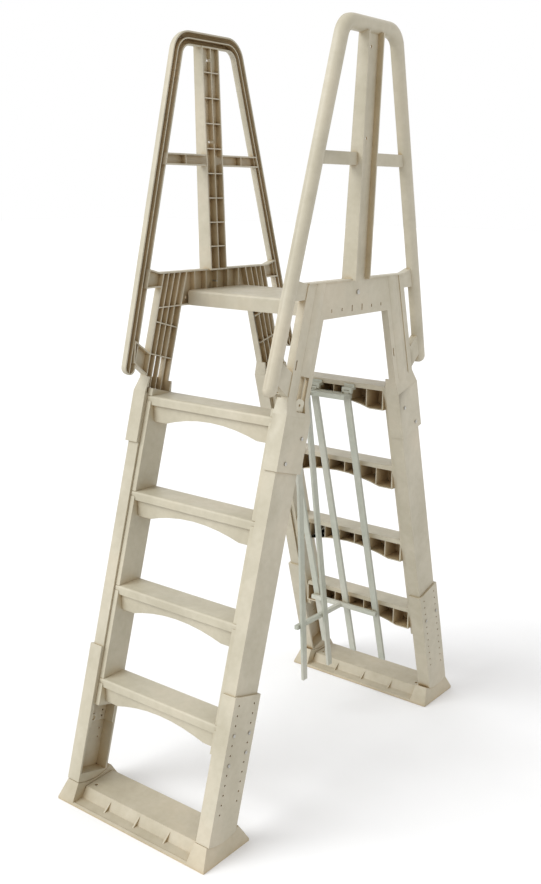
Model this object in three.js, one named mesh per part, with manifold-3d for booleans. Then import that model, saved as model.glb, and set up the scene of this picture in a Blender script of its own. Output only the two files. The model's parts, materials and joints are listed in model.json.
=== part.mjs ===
// Free-standing A-frame pool ladder, moulded plastic, with a platform, two side panels with
// handrails, a sliding outside ladder, a fixed inside ladder, height-adjustable feet, two base
// trays and a slatted barrier.
// Millimetres. X runs across the ladder, Y from the outside (-) to the inside (+), Z is up.
// The origin is on the ground under the middle of the platform.
import * as THREE from "three";
import { mergeVertices } from "three/addons/utils/BufferGeometryUtils.js";
import Module from "manifold-3d";

const wasm = await Module();
wasm.setup();

// ---------------------------------------------------------------- driving dimensions
const PLATFORM_HEIGHT = 1346;
const TOP_STEP_DROP = 264; // platform top down to the top tread
const BOTTOM_STEP_HEIGHT = 335;
const STEP_COUNT = 4;
const LEAN_DEG = 15.8;
const AXES_AT_PLATFORM = 185; // leg axis at platform height, from the centre plane
const LEG_OUTER_X = 250; // outer face of a leg's web, from the centre plane
const COLLAR_DROP = 255; // platform top down to the top of the collars
const FIT = 0.3; // gap between faces that touch
const EPS = 1; // overrun of a cut past the face it opens

// legs, stiles and sleeves: channels that open towards the centre plane
const LEG_DEPTH = 90;
const LEG_FLANGE = 36;
const LEG_WALL = 5;
const LEG_BOTTOM_S = 200;
const LEG_BELOW_COLLAR_TOP = 14;
const STILE_WIDTH = 25;
const STILE_TO_PANEL = 2;
const STILE_WALL = 4;
const STILE_CLEARANCE = 1;
const STILE_BOTTOM_S = 262;
const SLEEVE_CLEARANCE = 0.5;
const SLEEVE_WALL = 6;
const SLEEVE_TOP_S = 424;
const SLEEVE_FLOOR_S = 66;
const COLLAR_HEIGHT = 149;
const COLLAR_CAP = 12;
const SHOULDER_HEIGHT = 29; // slopes above the collar, down to the panel's leg

// height-adjustment holes and fasteners
const HOLE_PITCH = 25.4;
const HOLE_DIAMETER = 5.6;
const HOLE_COLUMN_OFFSET = 31;
const FIRST_HOLE_BELOW_TOP = 22;
const FRONT_COLUMN_HOLES = 12;
const REAR_COLUMN_HOLES = 11;
const FRONT_SCREW_ROWS = [3, 6];
const REAR_SCREW_ROWS = [3, 5];
const SCREW_SHANK = 5;
const SCREW_HEAD = 10;
const SCREW_HEAD_HEIGHT = 2.4;
const SCREW_END = 3;
const COLLAR_SCREW_LOW = 22;
const COLLAR_SCREW_HIGH = 88;
const COLLAR_SCREW_FRONT = -22;
const COLLAR_SCREW_REAR = 28;
const KNOB_DIAMETER = 24;
const KNOB_REACH = 12;
const KNOB_OFFSET = -20;
const KNOB_BELOW_STILE = 34.5;
const KNOB_RECESS = 13;
const KNOB_RECESS_DEPTH = 4;
const SPARE_HOLE_Y = 28; // a short row of holes in the legs' webs, above their lower ends
const SPARE_HOLE_S = 212;
const SPARE_HOLE_PITCH = 16;
const SPARE_HOLES = 3;

// treads
const TREAD_DEPTH = 78;
const TREAD_PLATE = 5;
const NOSING_HEIGHT = 24;
const NOSING_WALL = 5;
const NOSING_PROUD = 2.5;
const NOSING_OVER_STILE = 13;
const NOSING_ROUND = 6;
const NOSING_ROUND_STEPS = 4;
const APRON_SETBACK = 9;
const APRON_WALL = 4;
const APRON_END_DEPTH = 70;
const APRON_MID_DEPTH = 46;
const APRON_FOOT = 46;
const ARCH_SHARES = [-1, -0.8, -0.55, -0.28, 0, 0.28, 0.55, 0.8, 1];
const TREAD_REAR_LIP = 14;
const TREAD_RIB = 3;
const TREAD_RIBS = 6;
const TREAD_FLOOR = 3;
const TREAD_END_PLATE = 4;

// platform
const PLATFORM_HALF_DEPTH = 122;
const PLATFORM_THICKNESS = 40;
const PLATFORM_PLATE = 6;
const PLATFORM_WALL = 5;
const PLATFORM_EDGE = 7;
const PLATFORM_RIB = 4;

// side panels
const PANEL_DEPTH = 20;
const PANEL_SETBACK = 4; // behind the leg's outer face
const PANEL_WALL = 4;
const PANEL_RIB = 3;
const PANEL_RIDGE = 4;
const GROOVE_FRONT = -25; // across a leg: a flat pad, a groove and a rounded ridge
const GROOVE_REAR = -10;
const RIDGE_REAR = 28;
const RIDGE_STEPS = 8;
const LEG_RIB_SHARES = [0.28, 0.55];
const LEG_RIB_SPACING = 21;
const LEG_RIB_OFFSET = -3;
const PANEL_RISE = 661; // everything in the panel is measured from the platform's top
const FLARE = 0.0265; // outward lean of the handrails and posts
const FLARE_START = 34;
const HANDRAIL_WIDTH = 36;
const HANDRAIL_INNER = 7; // handrail and post, outwards from the panel's inner face
const HANDRAIL_ROUND = 15;
const HANDRAIL_WALL = 4;
const HANDRAIL_TOP_HALF = 114.5;
const HANDRAIL_CORNER = 48;
const HANDRAIL_END_DROP = 205;
const HANDRAIL_BEND_STEPS = 9;
const HANDRAIL_ROUND_STEPS = 10;
const HANDRAIL_BORE_STEPS = 3;
const POST_HALF_WIDTH = 34;
const POST_OUTER = 35;
const POST_FOOT_INNER = -8;
const POST_TOP_INNER = 5;
const POST_RIB_PITCH = 65;
const POST_HOLE = 8;
const POST_HOLE_RISE = [596, 389];
const CROSSBAR_RISE = 356;
const CROSSBAR_HEIGHT = 30;
const BEAM_HEIGHT = 93;
const BEAM_FLARE = 11;
const BEAM_FLARE_LENGTH = 50;
const BEAM_LEDGE = 4;
const BEAM_BOLT_BELOW_TOP = 35;
const BEAM_RIB_PITCH = 47;
const BEAM_SLOT_Z = 19; // above the beam's underside
const BEAM_SLOT_PITCH = 46;
const BEAM_SLOT_WIDTH = 4;
const BEAM_SLOT_HEIGHTS = [8, 8, 16, 16, 8, 8];
const WING_HEIGHT = 39;
const BRACKET_BELOW_BEAM = 76;
const BRACKET_HEIGHT = 58;
const BRACKET_FALL = 41; // from the handrail down to the leg
const LEG_SLOT_WIDTH = 4;
const LEG_SLOT_HEIGHT = 24;
const LEG_SLOT_ABOVE_COLLAR = 111;
const LEG_SLOT_FROM_EDGE = 8;
const WINDOW_OFFSET = 10;
const WINDOW_WIDTH = 37;
const WINDOW_HEIGHT = 87.5;
const WINDOW_SILL = 1.7;
const TAB_HEIGHT = 32;
const TAB_THICKNESS = 4;
const TAB_CLEARANCE = 1;
const TAB_KEYHOLE = 7;
const TAB_CROWN_STEPS = 6;

// base trays
const TRAY_SETBACK = 21; // the tray's middle line, inwards from the leg axis at the ground
const TRAY_PAST_LEG = 15;
const TRAY_HALF_DEPTH = 89;
const TRAY_FRONT_LIP = 7;
const TRAY_FLOOR = 9;
const TRAY_SHELF = 38;
const TRAY_RISER_FOOT = 54; // all four are distances from the tray's middle line
const TRAY_RISER_TOP = 37;
const TRAY_REAR_TOP = 62;
const TRAY_REAR_FOOT = 76;
const TRAY_WALL = 5;
const BLOCK_HEIGHT = 58;
const BLOCK_WIDTH = 58;
const BLOCK_SIDE_SLOPE = 14;
const BLOCK_END_SLOPE = 30;
const SADDLE_RADIUS = 150;
const SADDLE_LOW_Z = 41;
const SADDLE_CLEARANCE = 0.6;
const GUSSET_COUNT = 3;
const GUSSET_PITCH = 108;
const GUSSET_REACH = 18;
const TRAY_HOLE = 9;
const TRAY_HOLE_FROM_BLOCK = 17;
const TRAY_HOLE_Y = -16;

// barrier, hung under the inside ladder's top tread
const SLAT_WIDTH = 22;
const SLAT_THICKNESS = 9;
const BARRIER_BAR = 14;
const BARRIER_BELOW_TREAD = 46; // top tread down to the underside of the barrier's top frame
const BARRIER_FROM_LIP = 13.650; // behind the rear lip of the top tread
const BARRIER_FRAME_DEPTH = 27;
const BARRIER_BOTTOM_Z = 112;
const BARRIER_LOW_BAR_Z = 292;
const BARRIER_LEAN = 0.283;
const BARRIER_SLAT_SHARES = [0.433, -0.146, -0.725]; // of the tread's half length
const WING_SLAT_TOP = [-39.3, -85.3]; // both from the hinge line
const WING_SLAT_BOTTOM = [118.7, -21.3];
const HANGER_RIBS = [2, 4]; // the ribs of the tread that the clips straddle
const HANGER_WIDTH = 34;
const HANGER_PLATE = 5;
const HANGER_TONGUE = 3;
const HINGE_PIN = 5;
const HINGE_BORE = 5.6;
const HINGE_LUG = 11;
const HINGE_LUG_WIDTH = 16;
const HINGE_CHEEK = 8.6;
const HINGE_SIDES = 16;

// ---------------------------------------------------------------- derived dimensions
const LEAN = THREE.MathUtils.degToRad(LEAN_DEG);
const TAN = Math.tan(LEAN);
const COS = Math.cos(LEAN);
const LEG_SPREAD = Math.round(AXES_AT_PLATFORM + PLATFORM_HEIGHT * TAN); // at the ground
const STEP_RISE = (PLATFORM_HEIGHT - TOP_STEP_DROP - BOTTOM_STEP_HEIGHT) / (STEP_COUNT - 1);
const COLLAR_TOP_S = Math.round((PLATFORM_HEIGHT - COLLAR_DROP) / COS);
const COLLAR_BOTTOM_S = COLLAR_TOP_S - COLLAR_HEIGHT;
const LEG_TOP_S = COLLAR_TOP_S - LEG_BELOW_COLLAR_TOP;
const STILE_TOP_S = COLLAR_TOP_S;
const PANEL_OUTER_X = LEG_OUTER_X - PANEL_SETBACK;
const PANEL_INNER_X = PANEL_OUTER_X - PANEL_DEPTH;
const STILE_OUTER_X = PANEL_INNER_X - STILE_TO_PANEL;
const STILE_INNER_X = STILE_OUTER_X - STILE_WIDTH;
const NOSING_HALF_LENGTH = STILE_INNER_X + NOSING_OVER_STILE;
const HANDRAIL_INNER_X = PANEL_INNER_X + HANDRAIL_INNER;
const HANDRAIL_ROUND_X = PANEL_INNER_X + HANDRAIL_ROUND;
const POST_OUTER_X = PANEL_INNER_X + POST_OUTER;
const POST_FOOT_INNER_X = PANEL_INNER_X + POST_FOOT_INNER;
const POST_TOP_INNER_X = PANEL_INNER_X + POST_TOP_INNER;
const FLARE_START_Z = PLATFORM_HEIGHT + FLARE_START;
const PANEL_TOP_Z = PLATFORM_HEIGHT + PANEL_RISE;
const HANDRAIL_END_Z = PLATFORM_HEIGHT - HANDRAIL_END_DROP;
const CROSSBAR_TOP_Z = PLATFORM_HEIGHT + CROSSBAR_RISE;
const TRAY_CENTRE_Y = LEG_SPREAD - TRAY_SETBACK;
const TRAY_HALF_LENGTH = LEG_OUTER_X + TRAY_PAST_LEG;
const BLOCK_INNER_X = TRAY_HALF_LENGTH - BLOCK_WIDTH;
const LEG_HALF = LEG_DEPTH / 2;
const LEG_LIP_X = LEG_OUTER_X - LEG_FLANGE;
const SLEEVE_HALF = LEG_HALF + SLEEVE_CLEARANCE + SLEEVE_WALL;
const SLEEVE_OUTER_X = LEG_OUTER_X + SLEEVE_CLEARANCE + SLEEVE_WALL;
const STILE_HALF = LEG_HALF - LEG_WALL - STILE_CLEARANCE;
const NOSING_LOCAL_Y = -STILE_HALF - NOSING_PROUD;
const TREAD_HALF_LENGTH = STILE_INNER_X - FIT;
const BARRIER_SLAT_X = BARRIER_SLAT_SHARES.map((share) => share * TREAD_HALF_LENGTH);
const BEAM_BOTTOM_Z = PLATFORM_HEIGHT - PLATFORM_THICKNESS;
const BEAM_TOP_Z = BEAM_BOTTOM_Z + BEAM_HEIGHT;
const BEAM_BOLT_Z = BEAM_TOP_Z - BEAM_BOLT_BELOW_TOP;
const HANDRAIL_HALF = HANDRAIL_WIDTH / 2;
const HANDRAIL_TOP_Z = PANEL_TOP_Z - HANDRAIL_HALF;
const SADDLE_AXIS_Z = SADDLE_LOW_Z + SADDLE_RADIUS;
const WINDOW_BOTTOM_S = COLLAR_TOP_S + WINDOW_SILL;

// ---------------------------------------------------------------- solids
function solidFrom(geometry) {
  const bare = geometry.index ? geometry.toNonIndexed() : geometry.clone();
  bare.deleteAttribute("normal");
  bare.deleteAttribute("uv");
  const merged = mergeVertices(bare, 1e-4);
  return new wasm.Manifold(
    new wasm.Mesh({
      numProp: 3,
      vertProperties: merged.attributes.position.array,
      triVerts: new Uint32Array(merged.index.array),
    }),
  );
}

function geometryFrom(solid) {
  const mesh = solid.getMesh();
  const positions = new Float32Array(mesh.numVert * 3);
  for (let i = 0; i < mesh.numVert; i += 1) {
    positions.set(mesh.vertProperties.subarray(i * mesh.numProp, i * mesh.numProp + 3), i * 3);
  }
  const geometry = new THREE.BufferGeometry();
  geometry.setAttribute("position", new THREE.BufferAttribute(positions, 3));
  geometry.setIndex(new THREE.BufferAttribute(mesh.triVerts, 1));
  const flat = geometry.toNonIndexed();
  flat.computeVertexNormals();
  return flat;
}

const joined = (...solids) => solids.flat().reduce((sum, next) => sum.add(next));
const cut = (solid, ...tools) => tools.flat().reduce((rest, tool) => rest.subtract(tool), solid);

function box(x0, x1, y0, y1, z0, z1) {
  const geometry = new THREE.BoxGeometry(x1 - x0, y1 - y0, z1 - z0);
  geometry.translate((x0 + x1) / 2, (y0 + y1) / 2, (z0 + z1) / 2);
  return solidFrom(geometry);
}

function extruded(points, depth) {
  const shape = new THREE.Shape(points.map(([a, b]) => new THREE.Vector2(a, b)));
  return new THREE.ExtrudeGeometry(shape, { depth, bevelEnabled: false });
}

const axisX = new THREE.Vector3(1, 0, 0);
const axisY = new THREE.Vector3(0, 1, 0);
const axisZ = new THREE.Vector3(0, 0, 1);

// An outline of (y, z) points, extruded from x0 to x1.
function prismX(points, x0, x1) {
  const geometry = extruded(points, x1 - x0);
  geometry.applyMatrix4(new THREE.Matrix4().makeBasis(axisY, axisZ, axisX));
  geometry.translate(x0, 0, 0);
  return solidFrom(geometry);
}

// An outline of (x, z) points, extruded from y0 to y1.
function prismY(points, y0, y1) {
  const geometry = extruded(points, y1 - y0);
  geometry.applyMatrix4(
    new THREE.Matrix4().makeBasis(axisX, axisZ, axisY.clone().negate()),
  );
  geometry.translate(0, y1, 0);
  return solidFrom(geometry);
}

// An outline of (x, y) points, extruded from z0 to z1.
function prismZ(points, z0, z1) {
  const geometry = extruded(points, z1 - z0);
  geometry.translate(0, 0, z0);
  return solidFrom(geometry);
}

function rodZ(diameter, z0, z1, x, y, sides) {
  const geometry = new THREE.CylinderGeometry(diameter / 2, diameter / 2, z1 - z0, sides);
  geometry.rotateX(Math.PI / 2);
  geometry.translate(x, y, (z0 + z1) / 2);
  return solidFrom(geometry);
}

function rodX(diameter, x0, x1, y, z, sides) {
  const geometry = new THREE.CylinderGeometry(diameter / 2, diameter / 2, x1 - x0, sides);
  geometry.rotateZ(Math.PI / 2);
  geometry.translate((x0 + x1) / 2, y, z);
  return solidFrom(geometry);
}

// Moves every edge of an outline inwards by a margin.
function inset(points, margin) {
  const count = points.length;
  const area = points.reduce((sum, [a, b], i) => {
    const [c, d] = points[(i + 1) % count];
    return sum + a * d - b * c;
  }, 0);
  const turn = Math.sign(area);
  const edges = points.map(([a, b], i) => {
    const [c, d] = points[(i + 1) % count];
    const length = Math.hypot(c - a, d - b);
    const normal = [(-(d - b) / length) * turn, ((c - a) / length) * turn];
    const base = [a + normal[0] * margin, b + normal[1] * margin];
    return { base, direction: [c - a, d - b] };
  });
  return edges.map((edge, i) => {
    const before = edges[(i + count - 1) % count];
    const [p, q] = before.direction;
    const [r, s] = edge.direction;
    const along =
      ((edge.base[0] - before.base[0]) * s - (edge.base[1] - before.base[1]) * r) /
      (p * s - q * r);
    return [before.base[0] + p * along, before.base[1] + q * along];
  });
}

// From a leg's own axes (x, across the leg, up the leg) to the ladder's, outside leg.
function leaned(solid) {
  return solid.rotate([-LEAN_DEG, 0, 0]).translate([0, -LEG_SPREAD, 0]);
}

// y of a line that lies local_y behind the leg axis, at height z.
const legLineY = (localY, z) => -LEG_SPREAD + localY / COS + z * TAN;

// (y, z) of a point given across the leg and up the leg.
const legPoint = (localY, s) => [
  -LEG_SPREAD + localY * COS + s * Math.sin(LEAN),
  -localY * Math.sin(LEAN) + s * COS,
];

// ---------------------------------------------------------------- leg pieces
const holePoints = [
  ...Array.from({ length: FRONT_COLUMN_HOLES }, (_, row) => ({ column: -1, row })),
  ...Array.from({ length: REAR_COLUMN_HOLES }, (_, row) => ({ column: 1, row })),
].map(({ column, row }) => ({
  column,
  row,
  y: column * HOLE_COLUMN_OFFSET,
  s: SLEEVE_TOP_S - FIRST_HOLE_BELOW_TOP - row * HOLE_PITCH,
}));

const sleeveScrews = holePoints.filter(({ column, row }) =>
  (column < 0 ? FRONT_SCREW_ROWS : REAR_SCREW_ROWS).includes(row),
);
const collarScrews = [
  { y: COLLAR_SCREW_FRONT, s: COLLAR_BOTTOM_S + COLLAR_SCREW_LOW },
  { y: COLLAR_SCREW_REAR, s: COLLAR_BOTTOM_S + COLLAR_SCREW_HIGH },
];

function fastenerHoles(points, x0, x1) {
  return points.map(({ y, s }) => rodX(HOLE_DIAMETER, x0, x1, y, s, 6));
}

function channel(x0, x1, half, wall, s0, s1) {
  return cut(
    box(x0, x1, -half, half, s0, s1),
    box(x0 - EPS, x1 - wall, -half + wall, half - wall, s0 - EPS, s1 + EPS),
  );
}

const spareHoles = Array.from({ length: SPARE_HOLES }, (_, i) => ({
  y: SPARE_HOLE_Y,
  s: SPARE_HOLE_S + i * SPARE_HOLE_PITCH,
}));

function legSolid() {
  const holes = fastenerHoles(
    [...sleeveScrews, ...collarScrews, ...spareHoles],
    LEG_OUTER_X - LEG_WALL - EPS,
    LEG_OUTER_X + EPS,
  );
  return leaned(
    cut(
      channel(LEG_LIP_X, LEG_OUTER_X, LEG_HALF, LEG_WALL, LEG_BOTTOM_S, LEG_TOP_S),
      holes,
    ),
  );
}

// A screw from innerX whose head seats on the face of a sleeve or a collar.
function screwSolid({ y, s }, innerX) {
  const seat = SLEEVE_OUTER_X + FIT;
  return leaned(
    joined(
      rodX(SCREW_SHANK, innerX, seat + SCREW_HEAD_HEIGHT, y, s, 6),
      rodX(SCREW_HEAD, seat, seat + SCREW_HEAD_HEIGHT, y, s, 10),
    ),
  );
}

function treadTopZ(index) {
  return PLATFORM_HEIGHT - TOP_STEP_DROP - index * STEP_RISE;
}

function treadFrontY(index) {
  return legLineY(NOSING_LOCAL_Y, treadTopZ(index));
}

const stepIndexes = Array.from({ length: STEP_COUNT }, (_, index) => index);

function stileSolid() {
  const rail = leaned(
    cut(
      box(STILE_INNER_X, STILE_OUTER_X, -STILE_HALF, STILE_HALF, STILE_BOTTOM_S, STILE_TOP_S),
      box(
        STILE_INNER_X + STILE_WALL,
        STILE_OUTER_X + EPS,
        -STILE_HALF + STILE_WALL,
        STILE_HALF - STILE_WALL,
        STILE_BOTTOM_S - EPS,
        STILE_TOP_S + EPS,
      ),
    ),
  );
  const notches = stepIndexes.map((index) => {
    const y = treadFrontY(index);
    const z = treadTopZ(index);
    return box(
      STILE_INNER_X - EPS,
      NOSING_HALF_LENGTH + FIT,
      y - EPS,
      y + NOSING_WALL + FIT,
      z - NOSING_HEIGHT - FIT,
      z + FIT,
    );
  });
  return cut(rail, notches);
}

const saddleRod = (radius) =>
  rodX(
    radius * 2,
    LEG_LIP_X - LEG_FLANGE,
    SLEEVE_OUTER_X + LEG_FLANGE,
    -TRAY_CENTRE_Y,
    SADDLE_AXIS_Z,
    72,
  );

function sleeveSolid() {
  const body = cut(
    box(LEG_LIP_X, SLEEVE_OUTER_X, -SLEEVE_HALF, SLEEVE_HALF, 0, SLEEVE_TOP_S),
    box(
      LEG_LIP_X - EPS,
      SLEEVE_OUTER_X - SLEEVE_WALL,
      -SLEEVE_HALF + SLEEVE_WALL,
      SLEEVE_HALF - SLEEVE_WALL,
      SLEEVE_FLOOR_S,
      SLEEVE_TOP_S + EPS,
    ),
    fastenerHoles(holePoints, SLEEVE_OUTER_X - SLEEVE_WALL - EPS, SLEEVE_OUTER_X + EPS),
  );
  const keep = joined(
    saddleRod(SADDLE_RADIUS - SADDLE_CLEARANCE),
    box(0, TRAY_HALF_LENGTH, -PLATFORM_HEIGHT, 0, SADDLE_AXIS_Z, PLATFORM_HEIGHT),
  );
  return leaned(body).intersect(keep);
}

function knobSolid() {
  const s = STILE_BOTTOM_S - KNOB_BELOW_STILE - KNOB_DIAMETER / 2;
  const x1 = LEG_OUTER_X - LEG_WALL - FIT;
  const x0 = x1 - KNOB_REACH - STILE_WALL;
  return leaned(
    cut(
      rodX(KNOB_DIAMETER, x0, x1, KNOB_OFFSET, s, 20),
      rodX(KNOB_RECESS, x0 - EPS, x0 + KNOB_RECESS_DEPTH, KNOB_OFFSET, s, 14),
    ),
  );
}

// ---------------------------------------------------------------- treads
// The front of a tread: a straight top and an arched underside, raised by a margin.
function treadOutline(half, margin) {
  const flat = TREAD_HALF_LENGTH - APRON_FOOT;
  const rise = APRON_END_DEPTH - APRON_MID_DEPTH;
  const arch = ARCH_SHARES.map((share) => [
    flat * share,
    -APRON_END_DEPTH + margin + rise * (1 - share * share),
  ]);
  return [
    [-half, -margin],
    [-half, -APRON_END_DEPTH + margin],
    ...arch,
    [half, -APRON_END_DEPTH + margin],
    [half, -margin],
  ];
}

const treadRibX = (i) => TREAD_HALF_LENGTH * ((2 * (i + 1)) / (TREAD_RIBS + 1) - 1);

// Origin on the front top edge of the nosing. The tread is hollow and open at its back.
function treadSolid() {
  const half = TREAD_HALF_LENGTH;
  const apronRear = APRON_SETBACK + APRON_WALL;
  const plate = box(-half, half, 0, TREAD_DEPTH, -TREAD_PLATE, 0);
  const nosing = box(-NOSING_HALF_LENGTH, NOSING_HALF_LENGTH, 0, NOSING_WALL, -NOSING_HEIGHT, 0);
  const lip = box(
    -half,
    half,
    TREAD_DEPTH - TREAD_RIB,
    TREAD_DEPTH,
    -TREAD_REAR_LIP,
    -TREAD_PLATE + EPS,
  );
  const skin = prismY(treadOutline(half, 0), APRON_SETBACK, TREAD_DEPTH);
  const room = prismY(
    treadOutline(half - TREAD_END_PLATE, TREAD_FLOOR),
    apronRear,
    TREAD_DEPTH + EPS,
  );
  const ribZone = prismY(treadOutline(half, 0), apronRear - EPS, TREAD_DEPTH);
  const ribs = Array.from({ length: TREAD_RIBS }, (_, i) => {
    const x = treadRibX(i);
    return box(
      x - TREAD_RIB / 2,
      x + TREAD_RIB / 2,
      apronRear - EPS,
      TREAD_DEPTH,
      -APRON_END_DEPTH,
      -TREAD_PLATE + EPS,
    );
  });
  const round = Array.from({ length: NOSING_ROUND_STEPS + 1 }, (_, i) => {
    const angle = (i * Math.PI) / (2 * NOSING_ROUND_STEPS);
    return [NOSING_ROUND * (1 - Math.sin(angle)), -NOSING_ROUND * (1 - Math.cos(angle))];
  });
  const corner = prismX(
    [[-EPS, -NOSING_ROUND], [-EPS, EPS], [NOSING_ROUND, EPS], ...round],
    -NOSING_HALF_LENGTH - EPS,
    NOSING_HALF_LENGTH + EPS,
  );
  const ribbed = joined(cut(skin, room), plate, nosing, lip, joined(ribs).intersect(ribZone));
  return cut(ribbed, corner);
}

// ---------------------------------------------------------------- platform
function platformSolid() {
  const halfLength = PANEL_INNER_X - FIT;
  const halfDepth = PLATFORM_HALF_DEPTH;
  const z0 = BEAM_BOTTOM_Z;
  const z1 = PLATFORM_HEIGHT;
  const shoulder = [0, 1, 2, 3].map((step) => {
    const angle = (step * Math.PI) / 6;
    return [PLATFORM_EDGE * (1 - Math.cos(angle)), PLATFORM_EDGE * (1 - Math.sin(angle))];
  });
  const outline = [
    [-halfDepth, z0],
    ...shoulder.map(([a, b]) => [-halfDepth + a, z1 - b]),
    ...shoulder.toReversed().map(([a, b]) => [halfDepth - a, z1 - b]),
    [halfDepth, z0],
  ];
  const ribTop = z1 - PLATFORM_PLATE + EPS;
  const ribBottom = z0 + PLATFORM_WALL;
  const across = [-1, 0, 1].map((share) => {
    const y = (share * halfDepth) / 2;
    return box(-halfLength, halfLength, y - PLATFORM_RIB / 2, y + PLATFORM_RIB / 2, ribBottom, ribTop);
  });
  const along = [-2, -1, 0, 1, 2].map((share) => {
    const x = (share * halfLength) / 3;
    return box(
      x - PLATFORM_RIB / 2,
      x + PLATFORM_RIB / 2,
      -halfDepth + EPS,
      halfDepth - EPS,
      ribBottom,
      ribTop,
    );
  });
  const shell = cut(
    prismX(outline, -halfLength, halfLength),
    box(
      -halfLength + PLATFORM_WALL,
      halfLength - PLATFORM_WALL,
      -halfDepth + PLATFORM_WALL,
      halfDepth - PLATFORM_WALL,
      z0 - EPS,
      z1 - PLATFORM_PLATE,
    ),
  );
  return joined(shell, across, along);
}

// ---------------------------------------------------------------- side panel
// A path through given knots; a section swept along it keeps to those knots.
class KnotPath extends THREE.Curve {
  constructor(knots) {
    super();
    this.knots = knots;
  }
  getPointAt(u) {
    return this.knots[Math.round(u * (this.knots.length - 1))].clone();
  }
  getTangentAt(u) {
    const last = this.knots.length - 1;
    const i = Math.round(u * last);
    const before = this.knots[Math.max(i - 1, 0)];
    const after = this.knots[Math.min(i + 1, last)];
    const incoming = this.knots[i].clone().sub(before).normalize();
    const outgoing = after.clone().sub(this.knots[i]).normalize();
    return incoming.add(outgoing).normalize();
  }
}

// y of the front handrail's axis at height z.
const handrailY = (z) => -(HANDRAIL_TOP_HALF + (HANDRAIL_TOP_Z - z) * TAN);

function handrailKnots() {
  const endZ = HANDRAIL_END_Z + HANDRAIL_HALF;
  const corner = new THREE.Vector2(handrailY(HANDRAIL_TOP_Z), HANDRAIL_TOP_Z);
  const turn = Math.PI / 2 - LEAN;
  const reach = HANDRAIL_CORNER * Math.tan(turn / 2);
  const centre = new THREE.Vector2(corner.x + reach, HANDRAIL_TOP_Z - HANDRAIL_CORNER);
  const bend = Array.from({ length: HANDRAIL_BEND_STEPS + 1 }, (_, i) => {
    const angle = Math.PI - LEAN - (turn * i) / HANDRAIL_BEND_STEPS;
    return [
      centre.x + HANDRAIL_CORNER * Math.cos(angle),
      centre.y + HANDRAIL_CORNER * Math.sin(angle),
    ];
  });
  const front = [[handrailY(endZ), endZ], ...bend];
  const rear = front.toReversed().map(([y, z]) => [-y, z]);
  return [...front, ...rear].map(([y, z]) => new THREE.Vector3(HANDRAIL_ROUND_X, y, z));
}

function halfRound(radius, from, to, steps) {
  return Array.from({ length: steps + 1 }, (_, i) => {
    const angle = from + ((to - from) * i) / steps;
    return [-radius * Math.cos(angle), radius * Math.sin(angle)];
  });
}

// Section of the handrail: a D-shaped channel with a rib along its middle. Its first
// coordinate points towards the centre plane, from the centre of the round.
function handrailSection() {
  const open = HANDRAIL_ROUND_X - HANDRAIL_INNER_X;
  const inner = HANDRAIL_HALF - HANDRAIL_WALL;
  const rib = PANEL_RIB / 2;
  const ribAngle = Math.asin(rib / inner);
  return [
    [open, -HANDRAIL_HALF],
    [open, -inner],
    ...halfRound(inner, -Math.PI / 2, -ribAngle, HANDRAIL_BORE_STEPS),
    [open - EPS, -rib],
    [open - EPS, rib],
    ...halfRound(inner, ribAngle, Math.PI / 2, HANDRAIL_BORE_STEPS),
    [open, inner],
    [open, HANDRAIL_HALF],
    ...halfRound(HANDRAIL_HALF, Math.PI / 2, -Math.PI / 2, HANDRAIL_ROUND_STEPS),
  ];
}

// A round-ended block whose flat side lies on the handrail's open face.
function roundEnd(radius, y, z) {
  const ball = new THREE.SphereGeometry(radius, 2 * HANDRAIL_ROUND_STEPS, HANDRAIL_ROUND_STEPS);
  ball.rotateY(Math.PI / 2);
  ball.translate(HANDRAIL_ROUND_X, y, z);
  const sides = 2 * HANDRAIL_ROUND_STEPS;
  return joined(
    solidFrom(ball),
    rodX(radius * 2, HANDRAIL_INNER_X - EPS, HANDRAIL_ROUND_X, y, z, sides),
  );
}

// The closed lower end of the front handrail, with the section's channel running on into it.
function handrailEndSolid() {
  const z = HANDRAIL_END_Z + HANDRAIL_HALF;
  const y = handrailY(z);
  const inner = HANDRAIL_HALF - HANDRAIL_WALL;
  const strip = (half, from, to) =>
    [
      [half, from],
      [half, to],
      [-half, to],
      [-half, from],
    ].map(([across, down]) => [
      y + across * COS - down * Math.sin(LEAN),
      z - across * Math.sin(LEAN) - down * COS,
    ]);
  const below = prismX(
    strip(HANDRAIL_WIDTH, -EPS, HANDRAIL_WIDTH),
    HANDRAIL_INNER_X,
    HANDRAIL_ROUND_X + HANDRAIL_WIDTH,
  );
  const outer = roundEnd(HANDRAIL_HALF, y, z);
  const rib = prismX(
    strip(PANEL_RIB / 2, -EPS, inner + EPS),
    HANDRAIL_INNER_X + EPS,
    HANDRAIL_ROUND_X + inner + EPS,
  );
  return joined(cut(outer, roundEnd(inner, y, z)), rib.intersect(outer)).intersect(below);
}

function handrailSolid() {
  const knots = handrailKnots();
  const shape = new THREE.Shape(handrailSection().map(([a, b]) => new THREE.Vector2(a, b)));
  const sweep = new THREE.ExtrudeGeometry(shape, {
    steps: knots.length - 1,
    extrudePath: new KnotPath(knots),
  });
  const end = handrailEndSolid();
  return joined(solidFrom(sweep), end, end.mirror([0, 1, 0]));
}

// A moulded tray: an outline with a rim round it and a web on its outer side.
function trayed(outline, innerX, outerX) {
  return {
    full: prismX(outline, innerX, outerX),
    pocket: prismX(inset(outline, PANEL_WALL), innerX - EPS, outerX - PANEL_WALL),
  };
}

const mirroredY = (outline) => outline.map(([y, z]) => [-y, z]).toReversed();

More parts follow.
